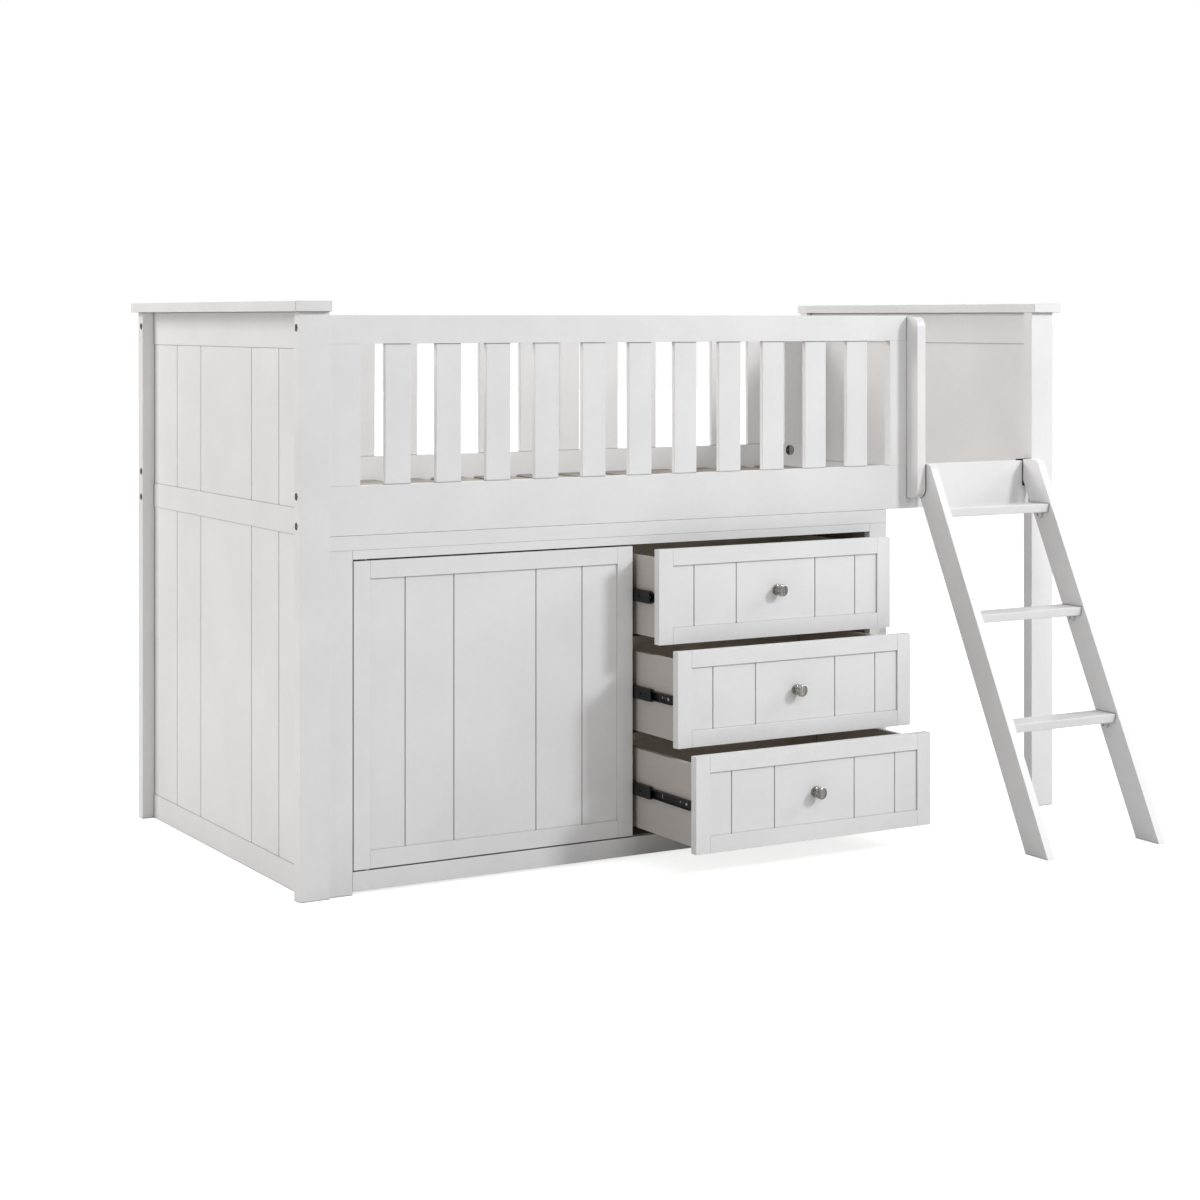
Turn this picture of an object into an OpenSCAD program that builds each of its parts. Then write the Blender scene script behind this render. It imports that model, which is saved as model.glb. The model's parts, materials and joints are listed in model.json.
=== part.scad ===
// Cabin bed: a raised single bed on four board posts, with a cabinet of
// drawers and a cupboard under it and a ladder that hooks over the side rail.
// Frame: X along the bed, Y from the ladder side to the wall side, Z up.
// The origin is the middle of the whole footprint, ladder included, on the floor.

/* [Bed frame] */
// Length over the outer faces of the posts
bed_l = 2000; // [2000:1:2100]
// Width over the outer faces of the posts
bed_w = 989; // [960:1:1060]
// Height of the posts, up to the underside of the end caps
post_h = 1213; // [1209:1:1260]
// Width of a post along the bed
post_x = 66; // [60:1:66]
// Thickness of a post across the bed
post_y = 30; // [30:1:34]
// Thickness of the end caps
cap_t = 22; // [16:1:30]
// Overhang of a cap at the end of the bed
cap_end = 15; // [8:1:20]
// Overhang of a cap at the long sides
cap_side = 12; // [4:1:16]
// Depth of the V grooves in the boarded panels
vee = 3; // [1:0.1:3.5]

/* [Side rails and guards] */
// Underside of the side rails above the floor
rail_z = 747.5; // [747.5:0.5:752]
// Height of a side rail
rail_h = 103; // [100:1:110]
// Height of a guard's top rail
guard_rail_h = 59.5; // [52:0.5:60]
// Top of the guards above the floor
guard_top = 1205.5; // [1200:0.5:1208]
// Width of a guard slat
gslat_w = 59; // [50:1:62]
// Distance from one guard slat to the next
gslat_pitch = 118.74; // [118:0.01:119]
// End of the front guard, measured from the left end of the bed
guard_end = 1578; // [1576:1:1579]

/* [Mattress base] */
// Number of bed slats
slat_n = 14; // [10:1:16]
// Width of a bed slat
slat_w = 95; // [50:1:100]
// Thickness of a bed slat
slat_t = 18; // [12:1:20]

/* [Cabinet] */
// Depth of the cabinet, front face to back
cab_d = 482; // [475:1:560]
// Right face of the divider between the cupboard and the drawers
div_x = 798.7; // [790:0.1:799]
// Thickness of the cabinet's boards
cab_t = 18; // [15:1:18]

/* [Drawers] */
// How far the top drawer is pulled out
open_1 = 96; // [92:1:250]
// How far the middle drawer is pulled out
open_2 = 173; // [97:1:300]
// How far the bottom drawer is pulled out
open_3 = 247; // [95:1:350]
// Depth of a drawer box
box_d = 420; // [400:1:425]
// Thickness of a drawer box's boards
box_t = 12; // [9:1:15]
// Diameter of a knob
knob_d = 27; // [24:1:34]

/* [Ladder] */
// Left face of the ladder, measured from the left end of the bed
ladder_x = 1583; // [1583:1:1584]
// Width over the ladder's stiles
ladder_w = 348; // [300:1:348]
// Thickness of a ladder stile
lstile_t = 20; // [16:1:24]
// Run of the ladder for each unit of height
lslope = 0.4945; // [0.40:0.0005:0.52]
// Number of treads
tread_n = 3; // [2:1:3]
// Height from tread to tread, and from the floor to the first less forty
tread_rise = 237; // [220:1:240]
// Thickness of a tread
tread_t = 20.5; // [18:0.5:24]

/* [Hidden] */

$fn = 48;
vee_w = 1.6;                   // half the width of a V groove
white = [0.93, 0.93, 0.92];
boxgrey = [0.86, 0.85, 0.83];
pine = [0.80, 0.68, 0.50];
nickel = [0.62, 0.61, 0.60];
zinc = [0.55, 0.56, 0.58];
black = [0.06, 0.06, 0.065];
nylon = [0.9, 0.9, 0.9];

// Side rails, measured from the outer face of the posts
rail_set = 8;
rail_t = 22;
yf0 = rail_set;                // outer and inner face, front side
yf1 = rail_set + rail_t;
yb1 = bed_w - rail_set;        // outer and inner face, back side
yb0 = yb1 - rail_t;
xl = post_x;                   // inner faces of the posts
xr = bed_l - post_x;
rail_top = rail_z + rail_h;
grail_z = guard_top - guard_rail_h;

// Ends of the bed
erail_x0 = 28.5;               // rails and panels, from the post's outer face
erail_x1 = 50;
epanel_x0 = 30;
epanel_x1 = 48;
top_rail_z = 1136;
mid_rail_z = 747;
mid_rail_h = 56;
bot_rail_h = 57;

// Bolts: through the posts into half-moon nuts in the rails
bolt_r = 3;
bolt_hole_r = 3.3;
cbore_r = 7.8;
cbore_d = 7;
nut_off = 57;                  // from the rail's end to the nut's hole
nut_hole_r = 14;
nut_hole_d = 16.5;
bolt_z_low = 771;
bolt_z_high = 832;
bolt_z_guard = 1179.5;
// each bolt: end of the bed (0 left, 1 right), side (0 front, 1 back), height
BOLTS = [[0, 0, bolt_z_low], [0, 0, bolt_z_high], [0, 0, bolt_z_guard],
    [0, 1, bolt_z_low], [0, 1, bolt_z_high], [0, 1, bolt_z_guard],
    [1, 0, bolt_z_low], [1, 0, bolt_z_high],
    [1, 1, bolt_z_low], [1, 1, bolt_z_high], [1, 1, bolt_z_guard]];
function bolt_y(side) = side == 0 ? (yf0 + yf1) / 2 : (yb0 + yb1) / 2;

// Guard
stile_l_w = 73.4;
stile_r_w = 70;
gslat_x0 = 197.4;
gslat_t = 12;
gslat_set = 3;
gslat_front_n = 11;
gslat_back_n = floor((xr - stile_l_w - gslat_x0 - gslat_w) / gslat_pitch) + 1;

// Mattress base
ledger = 25;
ledger_x0 = xl + 79;
ledger_x1 = xr - 79;
slat_z = rail_z + ledger;

// Cabinet, front face at the rails' outer face
cx0 = post_x;
cx1 = 1497.3;
cy0 = rail_set;
face_t = 21;
cy1 = cy0 + face_t;            // behind the face frame
cyb = cy0 + cab_d;             // back of the cabinet
back_t = 6;
ctop_z = 747;
lip_z = 716;
open_z1 = 697.3;               // under the face frame's top rail
open_z0 = 48;                  // on the plinth and the floor board
fs_l = 122;                    // inner edge of the left face stile
fs_r = 1448.7;                 // inner edge of the right face stile
top_under = ctop_z - 19;

// Door
door_x0 = fs_l + 2;
door_x1 = div_x;
door_z0 = 51;
door_z1 = 693.5;
front_t = 20;
pivot_x = door_x0 + 32;
pivot_y = cy0 + front_t / 2;
pin_r = 4;

// Drawers
reveal = 6;
dw_x0 = div_x + 10.5;
dw_x1 = fs_r - 12.9;
dw_h = 208.7;
dw_z0 = 54;
function dz(i) = dw_z0 + (3 - i) * (dw_h + reveal);
OPEN = [open_1, open_2, open_3];
function dy(i) = -OPEN[i - 1];
slide_gap = 12.7;
bx0 = div_x + slide_gap;
bx1 = fs_r - slide_gap;
function bz0(i) = dz(i) + 14;
function bz1(i) = dz(i) + dw_h - 19;
function sz(i) = dz(i) + 102;
knob_x = (dw_x0 + dw_x1) / 2;
function kz(i) = dz(i) + dw_h / 2;
by0 = cy0 + front_t;           // back of the drawer fronts when closed
slide_y0 = by0 + 2;
slide_len = 400;
member_len = 380;
// how far each drawer's middle members stand out at rest
MID = [90, 95, 93];
function my(i) = slide_y0 - MID[i - 1];

// Frame-and-panel work
fp_groove = 8;                 // depth of the groove that holds the panel
fp_recess = 4;                 // panel face behind the frame's face
fp_panel_t = 9;
glue = 0.3;                    // joint line between a stile and a rail

// Ladder
hook_t = 3;
hook_gap = 0.3;
hook_y0 = yf0 - hook_gap - hook_t;
lcut_z = 803.6;                // where the stile's upright cut starts
lb0 = hook_y0 - lslope * lcut_z;   // back and front edge on the floor
lf0 = lb0 - 76.8;
ladder_top = rail_top + hook_gap + hook_t;
lxi0 = ladder_x + lstile_t;
lxi1 = ladder_x + ladder_w - lstile_t;
function tz(k) = 40 + tread_rise * k;   // top of tread k, counted from 1
function lback(z) = lb0 + lslope * z;
function lfront(z) = lf0 + lslope * z;

// Middle of the footprint: the caps at the back, the ladder's feet in front
ox = bed_l / 2;
oy = (bed_w + cap_side + lf0) / 2;

module place() translate([-ox, -oy, 0]) children();

module board(x0, x1, y0, y1, z0, z1)
    translate([x0, y0, z0]) cube([x1 - x0, y1 - y0, z1 - z0]);

// A profile drawn in Y and Z, extruded along X from x0 to x1
module along_x(x0, x1)
    translate([x0, 0, 0]) rotate([90, 0, 90]) linear_extrude(height = x1 - x0) children();

// A profile drawn in X and Z, extruded along Y from y0 to y1
module along_y(y0, y1)
    translate([0, y1, 0]) rotate([90, 0, 0]) linear_extrude(height = y1 - y0) children();

// A cylinder along X from x0 to x1
module rod_x(x0, x1, y, z, r, n = 48)
    translate([x0, y, z]) rotate([0, 90, 0]) cylinder(h = x1 - x0, r = r, $fn = n);

// A cylinder along Y from y0 to y1
module rod_y(x, y0, y1, z, r, n = 48)
    translate([x, y1, z]) rotate([90, 0, 0]) cylinder(h = y1 - y0, r = r, $fn = n);

// ---- posts and ends -------------------------------------------------------

// end 0 left, 1 right; side 0 front, 1 back
module post(end, side) {
    x0 = end == 0 ? 0 : xr;
    y0 = side == 0 ? 0 : bed_w - post_y;
    color(white) difference() {
        board(x0, x0 + post_x, y0, y0 + post_y, 0, post_h);
        for (b = BOLTS) if (b[0] == end && b[1] == side) {
            rod_x(x0 - 1, x0 + post_x + 1, bolt_y(side), b[2], bolt_hole_r);
            if (end == 0) rod_x(-1, cbore_d, bolt_y(side), b[2], cbore_r);
            else rod_x(bed_l - cbore_d, bed_l + 1, bolt_y(side), b[2], cbore_r);
        }
    }
}
module front_left_post() place() post(0, 0);
module back_left_post() place() post(0, 1);
module front_right_post() place() post(1, 0);
module back_right_post() place() post(1, 1);

module end_caps() place() color(white) {
    board(-cap_end, post_x + 1, -cap_side, bed_w + cap_side, post_h, post_h + cap_t);
    board(bed_l - post_x - 1, bed_l + cap_end, -cap_side, bed_w + cap_side, post_h, post_h + cap_t);
}

module both_ends() {
    children();
    translate([bed_l, 0, 0]) mirror([1, 0, 0]) children();
}
module end_top_rails() place() color(white)
    both_ends() board(erail_x0, erail_x1, post_y, bed_w - post_y, top_rail_z, post_h);
module end_mid_rails() place() color(white)
    both_ends() board(erail_x0, erail_x1, post_y, bed_w - post_y, mid_rail_z, mid_rail_z + mid_rail_h);
module left_bottom_rail() place() color(white)
    board(erail_x0, erail_x1, post_y, bed_w - post_y, 0, bot_rail_h);

// A boarded end panel: V grooves between boards of the widths 1, 1, 2, 1, 1
module end_panel(z0, z1) {
    pitch = (bed_w - 2 * post_y) / 6;
    difference() {
        board(epanel_x0, epanel_x1, post_y, bed_w - post_y, z0, z1);
        for (k = [1, 2, 4, 5]) translate([0, 0, z0 - 1]) linear_extrude(height = z1 - z0 + 2)
            polygon([[epanel_x0 - 1, post_y + k * pitch - vee_w - 0.5],
                [epanel_x0 + vee, post_y + k * pitch - 0.4],
                [epanel_x0 + vee, post_y + k * pitch + 0.4],
                [epanel_x0 - 1, post_y + k * pitch + vee_w + 0.5]]);
    }
}
module left_upper_panel() place() color(white)
    end_panel(mid_rail_z + mid_rail_h, top_rail_z);
module left_lower_panel() place() color(white)
    end_panel(bot_rail_h, mid_rail_z);
module right_upper_panel() place() color(white)
    translate([bed_l, 0, 0]) mirror([1, 0, 0]) end_panel(mid_rail_z + mid_rail_h, top_rail_z);

// ---- side rails and guards ------------------------------------------------

// The bolt holes and nut holes of a rail between the posts, or at one end of it
module rail_holes(side, ends, heights) {
    y = bolt_y(side);
    for (e = ends, z = heights) {
        nx = e == 0 ? xl + nut_off : xr - nut_off;
        if (e == 0) rod_x(xl - 1, nx, y, z, bolt_hole_r);
        else rod_x(nx, xr + 1, y, z, bolt_hole_r);
        if (side == 0) rod_y(nx, yf1 - nut_hole_d, yf1 + 1, z, nut_hole_r);
        else rod_y(nx, yb0 - 1, yb0 + nut_hole_d, z, nut_hole_r);
    }
}
module front_side_rail() place() color(white) difference() {
    board(xl, xr, yf0, yf1, rail_z, rail_top);
    rail_holes(0, [0, 1], [bolt_z_low, bolt_z_high]);
}
module back_side_rail() place() color(white) difference() {
    board(xl, xr, yb0, yb1, rail_z, rail_top);
    rail_holes(1, [0, 1], [bolt_z_low, bolt_z_high]);
}
module front_guard_rail() place() color(white) difference() {
    board(xl, guard_end, yf0, yf1, grail_z, guard_top);
    rail_holes(0, [0], [bolt_z_guard]);
}
module back_guard_rail() place() color(white) difference() {
    board(xl, xr, yb0, yb1, grail_z, guard_top);
    rail_holes(1, [0, 1], [bolt_z_guard]);
}
module guard_stiles() place() color(white) {
    board(xl, xl + stile_l_w, yf0, yf1, rail_top, grail_z);
    board(guard_end - stile_r_w, guard_end, yf0, yf1, rail_top, grail_z);
    board(xl, xl + stile_l_w, yb0, yb1, rail_top, grail_z);
    board(xr - stile_l_w, xr, yb0, yb1, rail_top, grail_z);
}
module guard_slats() place() color(white) {
    for (k = [0:gslat_front_n - 1]) {
        x = gslat_x0 + k * gslat_pitch;
        board(x, x + gslat_w, yf0 + gslat_set, yf0 + gslat_set + gslat_t, rail_top, grail_z);
    }
    for (k = [0:gslat_back_n - 1]) {
        x = gslat_x0 + k * gslat_pitch;
        board(x, x + gslat_w, yb1 - gslat_set - gslat_t, yb1 - gslat_set, rail_top, grail_z);
    }
}

// The upright handle at the ladder, its two front corners rounded
module grab_post() place() color(white) {
    z0 = 773;
    z1 = 1202;
    d = 42;
    r = 24;
    along_x(guard_end - 21, guard_end + 3) intersection() {
        translate([yf0 - d, z0]) square([d, z1 - z0]);
        union() {
            translate([yf0 - d + r, z0]) square([d, z1 - z0]);
            translate([yf0 - d, z0 + r]) square([d, z1 - z0 - 2 * r]);
            translate([yf0 - d + r, z0 + r]) circle(r = r, $fn = 64);
            translate([yf0 - d + r, z1 - r]) circle(r = r, $fn = 64);
        }
    }
}

// ---- mattress base --------------------------------------------------------

module slat_ledgers() place() color(white) {
    board(ledger_x0, ledger_x1, yf1, yf1 + ledger, rail_z, slat_z);
    board(ledger_x0, ledger_x1, yb0 - ledger, yb0, rail_z, slat_z);
}
module bed_slats() place() color(pine) {
    pitch = (ledger_x1 - ledger_x0 - 6 - slat_w) / (slat_n - 1);
    for (k = [0:slat_n - 1]) {
        x = ledger_x0 + 3 + k * pitch;
        board(x, x + slat_w, yf1 + 1, yb0 - 1, slat_z, slat_z + slat_t);
    }
}

// ---- bolts and nuts -------------------------------------------------------

// A bolt along +X: the head's outer face at x = 0
module bed_bolt(len) difference() {
    union() {
        rod_x(0, 5.5, 0, 0, 6.9);
        rod_x(5, len, 0, 0, bolt_r);
    }
    translate([-1, 0, 0]) rotate([0, 90, 0]) cylinder(h = 4.5, r = 3.1, $fn = 6);
}
module bed_bolts() place() color(zinc) for (b = BOLTS)
    if (b[0] == 0) translate([1.5, bolt_y(b[1]), b[2]]) bed_bolt(post_x + nut_off + 8 - 1.5);
    else translate([bed_l - 1.5, bolt_y(b[1]), b[2]]) mirror([1, 0, 0]) bed_bolt(post_x + nut_off + 8 - 1.5);

// A half-moon nut: half a disc on edge, its flat side carrying a hexagon nut
module half_moon(side) {
    y0 = side == 0 ? yf1 - nut_hole_d + 1 : yb0 + 1.5;
    y1 = y0 + 13;
    yc = bolt_y(side);
    difference() {
        union() {
            intersection() {
                rod_y(0, y0, y1, 0, nut_hole_r - 0.4);
                translate([-20, y0 - 1, -20]) cube([20, 15, 40]);
            }
            translate([-0.5, yc, 0]) rotate([0, 90, 0]) cylinder(h = 5, r = 5.6, $fn = 6);
        }
        rod_x(-20, 20, yc, 0, bolt_r + 0.05);
    }
}
module half_moon_nuts() place() color(zinc) for (b = BOLTS)
    if (b[0] == 0) translate([xl + nut_off, 0, b[2]]) half_moon(b[1]);
    else translate([xr - nut_off, 0, b[2]]) mirror([1, 0, 0]) half_moon(b[1]);

// ---- cabinet --------------------------------------------------------------

module cabinet_top() place() color(white) {
    board(cx0, cx1, cy1 + glue, cyb, top_under, ctop_z);
    board(cx0, cx1, cy0, cy1, lip_z, ctop_z);
}
module cabinet_left_side() place() color(white)
    board(fs_l - cab_t, fs_l, cy1, cyb - back_t, 0, top_under);
module cabinet_right_side() place() color(white)
    board(fs_r, fs_r + cab_t, cy1, cyb - back_t, 0, top_under);
module cabinet_divider() place() color(white)
    board(div_x - cab_t, div_x, cy1, cyb - back_t, open_z0, top_under);
module cabinet_floor() place() color(white)
    board(fs_l, fs_r, cy1, cyb - back_t, open_z0 - cab_t, open_z0);
module cabinet_back() place() color(white)
    board(fs_l - cab_t, fs_r + cab_t, cyb - back_t, cyb, 0, top_under);
module face_stiles() place() color(white) {
    board(cx0, fs_l, cy0, cy1, 0, lip_z);
    board(fs_r, cx1, cy0, cy1, 0, lip_z);
}
module face_top_rail() place() color(white) difference() {
    board(fs_l, fs_r, cy0, cy1, open_z1, lip_z);
    translate([pivot_x, pivot_y, open_z1 - 1]) cylinder(h = 13.2, r = pin_r + 0.05);
}
module plinth() place() color(white) difference() {
    board(fs_l, fs_r, cy0, cy1, 7, open_z0);
    translate([pivot_x, pivot_y, open_z0 - 14.2]) cylinder(h = 20, r = pin_r + 0.05);
}
module drawer_dust_rails() place() color(white) for (i = [1, 2]) {
    z = dz(i) - reveal / 2;
    board(div_x, fs_r, cy1, cy1 + 60, z - 9.5, z + 9.5);
}

// ---- door -----------------------------------------------------------------

// Frame of a framed front: two stiles and two rails, grooved for the panel
module fp_frame(x0, x1, z0, z1, y0, sw, rh) difference() {
    union() {
        board(x0, x0 + sw, y0, y0 + front_t, z0, z1);
        board(x1 - sw, x1, y0, y0 + front_t, z0, z1);
        board(x0 + sw + glue, x1 - sw - glue, y0, y0 + front_t, z0, z0 + rh);
        board(x0 + sw + glue, x1 - sw - glue, y0, y0 + front_t, z1 - rh, z1);
    }
    board(x0 + sw - fp_groove, x1 - sw + fp_groove, y0 + fp_recess, y0 + fp_recess + fp_panel_t + 0.4,
        z0 + rh - fp_groove, z1 - rh + fp_groove);
}
// Its panel: one board with V grooves at the places given, measured from x0
module fp_panel(x0, x1, z0, z1, y0, sw, rh, grooves) {
    ya = y0 + fp_recess + 0.2;
    e = fp_groove - 0.2;
    difference() {
        board(x0 + sw - e, x1 - sw + e, ya, ya + fp_panel_t, z0 + rh - e, z1 - rh + e);
        for (g = grooves) translate([0, 0, z0]) linear_extrude(height = z1 - z0)
            polygon([[x0 + g - vee_w - 0.5, ya - 1], [x0 + g - 0.4, ya + vee],
                [x0 + g + 0.4, ya + vee], [x0 + g + vee_w + 0.5, ya - 1]]);
    }
}
door_sw = 38;
door_rh = 37.5;
door_grooves = [for (f = [0.137, 0.328, 0.660, 0.852])
    door_sw + f * (door_x1 - door_x0 - 2 * door_sw)];

module door_frame() place() color(white) difference() {
    fp_frame(door_x0, door_x1, door_z0, door_z1, cy0, door_sw, door_rh);
    translate([pivot_x, pivot_y, door_z0 - 1]) cylinder(h = 16.5, r = pin_r + 0.05);
    translate([pivot_x, pivot_y, door_z1 - 15.5]) cylinder(h = 20, r = pin_r + 0.05);
}
module door_panel() place() color(white)
    fp_panel(door_x0, door_x1, door_z0, door_z1, cy0, door_sw, door_rh, door_grooves);
module door_pivot_pins() place() color(zinc) {
    translate([pivot_x, pivot_y, open_z0 - 14]) cylinder(h = 14 + 3 + 15, r = pin_r);
    translate([pivot_x, pivot_y, open_z0]) difference() {
        cylinder(h = 2.7, r = 8.5);
        translate([0, 0, -1]) cylinder(h = 5, r = pin_r + 0.05);
    }
    translate([pivot_x, pivot_y, door_z1 - 15]) cylinder(h = 15 + (open_z1 - door_z1) + 12, r = pin_r);
}
// Magnetic catch on the divider: a housing with its two pole plates
module door_catch() place() {
    color(nylon) difference() {
        board(div_x - cab_t - 15, div_x - cab_t, cy1 + 1, cy1 + 18, 640, 680);
        board(div_x - cab_t - 12, div_x - cab_t - 4, cy1 - 1, cy1 + 13, 645, 675);
    }
    color(zinc) {
        board(div_x - cab_t - 11.6, div_x - cab_t - 9.6, cy1 + 0.4, cy1 + 12.6, 645.4, 674.6);
        board(div_x - cab_t - 6.4, div_x - cab_t - 4.4, cy1 + 0.4, cy1 + 12.6, 645.4, 674.6);
    }
}

// ---- drawers --------------------------------------------------------------

dsw = 36;
drh = 36;
dw_grooves = [for (f = [0.102, 0.303, 0.688, 0.889])
    dsw + f * (dw_x1 - dw_x0 - 2 * dsw)];

module knob_hole(i) rod_y(knob_x, cy0 + dy(i) - 5, by0 + dy(i) + box_t + 5, kz(i), 2.3, 32);

module drawer_front(i) color(white) union() {
    fp_frame(dw_x0, dw_x1, dz(i), dz(i) + dw_h, cy0 + dy(i), dsw, drh);
    difference() {
        fp_panel(dw_x0, dw_x1, dz(i), dz(i) + dw_h, cy0 + dy(i), dsw, drh, dw_grooves);
        knob_hole(i);
    }
}
// Two sides, an inner front and a back, grooved for the bottom
module drawer_box(i) color(boxgrey) difference() {
    union() {
        board(bx0, bx0 + box_t, by0 + dy(i), by0 + dy(i) + box_d, bz0(i), bz1(i));
        board(bx1 - box_t, bx1, by0 + dy(i), by0 + dy(i) + box_d, bz0(i), bz1(i));
        board(bx0 + box_t + 0.2, bx1 - box_t - 0.2, by0 + dy(i), by0 + dy(i) + box_t, bz0(i), bz1(i));
        board(bx0 + box_t + 0.2, bx1 - box_t - 0.2, by0 + dy(i) + box_d - box_t, by0 + dy(i) + box_d, bz0(i), bz1(i));
    }
    board(bx0 + box_t - 5.2, bx1 - box_t + 5.2, by0 + dy(i) + box_t - 5.2, by0 + dy(i) + box_d - box_t + 5.2,
        bz0(i) + 9.8, bz0(i) + 15.2);
    knob_hole(i);
}
module drawer_bottom(i) color(boxgrey)
    board(bx0 + box_t - 5, bx1 - box_t + 5, by0 + dy(i) + box_t - 5, by0 + dy(i) + box_d - box_t + 5,
        bz0(i) + 10, bz0(i) + 15);

// Turned knob on a round base, with the screw that holds it from inside
module knob(i) color(nickel) translate([knob_x, cy0 + dy(i) + fp_recess + 0.2, kz(i)]) rotate([90, 0, 0]) {
    r = knob_d / 2;
    difference() {
        rotate_extrude($fn = 64) union() {
            square([11.8, 5.5]);
            square([7.4, 18]);
            difference() {
                translate([0, 5.5]) square([10.8, 2.6]);
                translate([10.8, 8.1]) circle(r = 2.4, $fn = 32);
            }
            translate([0, 15]) square([r - 3, 10.5]);
            translate([0, 18]) square([r, 5.5]);
            translate([r - 3, 18]) circle(r = 3, $fn = 32);
            translate([r - 2, 23.5]) circle(r = 2, $fn = 32);
        }
        translate([0, 0, -1]) cylinder(h = 13.5, r = 2.05, $fn = 32);
    }
    back = front_t + box_t - fp_recess - 0.2;
    translate([0, 0, -back - 1]) cylinder(h = back + 13, r = 2, $fn = 32);
    translate([0, 0, -back - 2.4]) cylinder(h = 2.4, r = 4, $fn = 32);
}

// ---- drawer slides --------------------------------------------------------

// Sections of the three members of the left slide, u from the cabinet's wall
module sec_outer() union() {
    translate([0, -17.5]) square([1.2, 35]);
    translate([0, 16.3]) square([9.5, 1.2]);
    translate([0, -17.5]) square([9.5, 1.2]);
}
module sec_middle() union() {
    translate([2.2, -13.5]) square([1.2, 27]);
    translate([2.2, 12.3]) square([8.6, 1.2]);
    translate([2.2, -13.5]) square([8.6, 1.2]);
}
module sec_inner() union() {
    translate([11.5, -9.75]) square([1.2, 19.5]);
    translate([4.2, 8.55]) square([8.5, 1.2]);
    translate([4.2, -9.75]) square([8.5, 1.2]);
}
// Both slides of a drawer
module pair() {
    translate([div_x, 0, 0]) children();
    translate([fs_r, 0, 0]) mirror([1, 0, 0]) children();
}
module slide_cabinet_members() place() color(black) for (i = [1:3]) pair() difference() {
    translate([0, 0, sz(i)]) along_y(slide_y0, slide_y0 + slide_len) sec_outer();
    for (y = [40, 200, 360]) rod_x(-1, 2, slide_y0 + y, sz(i), 2.4, 32);
}
// The middle members: holes in the web, and the front corners cut back
module slide_middle(i) color(black) pair() difference() {
    translate([0, 0, sz(i)]) along_y(my(i), my(i) + member_len) sec_middle();
    for (y = [42, 190, 340]) rod_x(1, 4, my(i) + y, sz(i), 3, 32);
    for (s = [-1, 1]) along_x(-1, 14) polygon([[my(i) - 1, sz(i) + s * 9],
        [my(i) - 1, sz(i) + s * 15], [my(i) + 5, sz(i) + s * 15]]);
}
// The members screwed to the drawer, with their holes and slots
module slide_inner(i) color(black) pair() difference() {
    translate([0, 0, sz(i)]) along_y(by0 + dy(i) + 0.4, by0 + dy(i) + 0.4 + member_len) sec_inner();
    for (y = [19.6, 190, 330]) rod_x(11, 13, by0 + dy(i) + y, sz(i), 2.6, 32);
    rod_x(11, 13, by0 + dy(i) + 44.5, sz(i) + 1, 1.7, 32);
    translate([11, by0 + dy(i) + 34.5, sz(i) - 4]) cube([2, 3.2, 8]);
    translate([11, by0 + dy(i) + 118, sz(i) - 5.5]) cube([2, 4.5, 11]);
}

module drawer_1_front() place() drawer_front(1);
module drawer_1_box() place() drawer_box(1);
module drawer_1_bottom() place() drawer_bottom(1);
module drawer_1_knob() place() knob(1);
module slide_1_drawer_members() place() slide_inner(1);
module slide_1_middle_members() place() slide_middle(1);
module drawer_2_front() place() drawer_front(2);
module drawer_2_box() place() drawer_box(2);
module drawer_2_bottom() place() drawer_bottom(2);
module drawer_2_knob() place() knob(2);
module slide_2_drawer_members() place() slide_inner(2);
module slide_2_middle_members() place() slide_middle(2);
module drawer_3_front() place() drawer_front(3);
module drawer_3_box() place() drawer_box(3);
module drawer_3_bottom() place() drawer_bottom(3);
module drawer_3_knob() place() knob(3);
module slide_3_drawer_members() place() slide_inner(3);
module slide_3_middle_members() place() slide_middle(3);

// ---- ladder ---------------------------------------------------------------

// Raked stile: cut level at the floor and the top, upright where it meets the rail
module lstile(x0, e) {
    r = 18;
    yt = lfront(ladder_top);
    n = sqrt(1 + lslope * lslope);
    yc = yt + r * (n - lslope);    // middle of the rounded front top corner
    zc = ladder_top - r;
    difference() {
        along_x(x0, x0 + lstile_t) difference() {
            polygon([[lb0, 0], [lf0, 0], [yt, ladder_top], [hook_y0, ladder_top], [hook_y0, lcut_z]]);
            difference() {
                polygon([[yc, zc], [yc, ladder_top + 2], [yt - 6, ladder_top + 2],
                    [yc - (r + 4) / n, zc + (r + 4) * lslope / n]]);
                translate([yc, zc]) circle(r = r, $fn = 96);
            }
        }
        for (k = [1:tread_n]) rod_x(e == 0 ? lxi0 - 12 : lxi1 - 1, e == 0 ? lxi0 + 1 : lxi1 + 12,
            block_y(k), block_z(k), 1.7, 24);
    }
}
module ladder_stiles() place() color(white) {
    lstile(ladder_x, 0);
    lstile(ladder_x + ladder_w - lstile_t, 1);
}
// Tread: top level, front edge undercut, back edge raked with the stiles
module ladder_treads() place() color(white) for (k = [1:tread_n]) {
    t = tz(k);
    along_x(lxi0, lxi1) polygon([[lfront(t) + 6.5, t], [lback(t), t],
        [lback(t - tread_t), t - tread_t], [lfront(t) + 11, t - tread_t]]);
}
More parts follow.
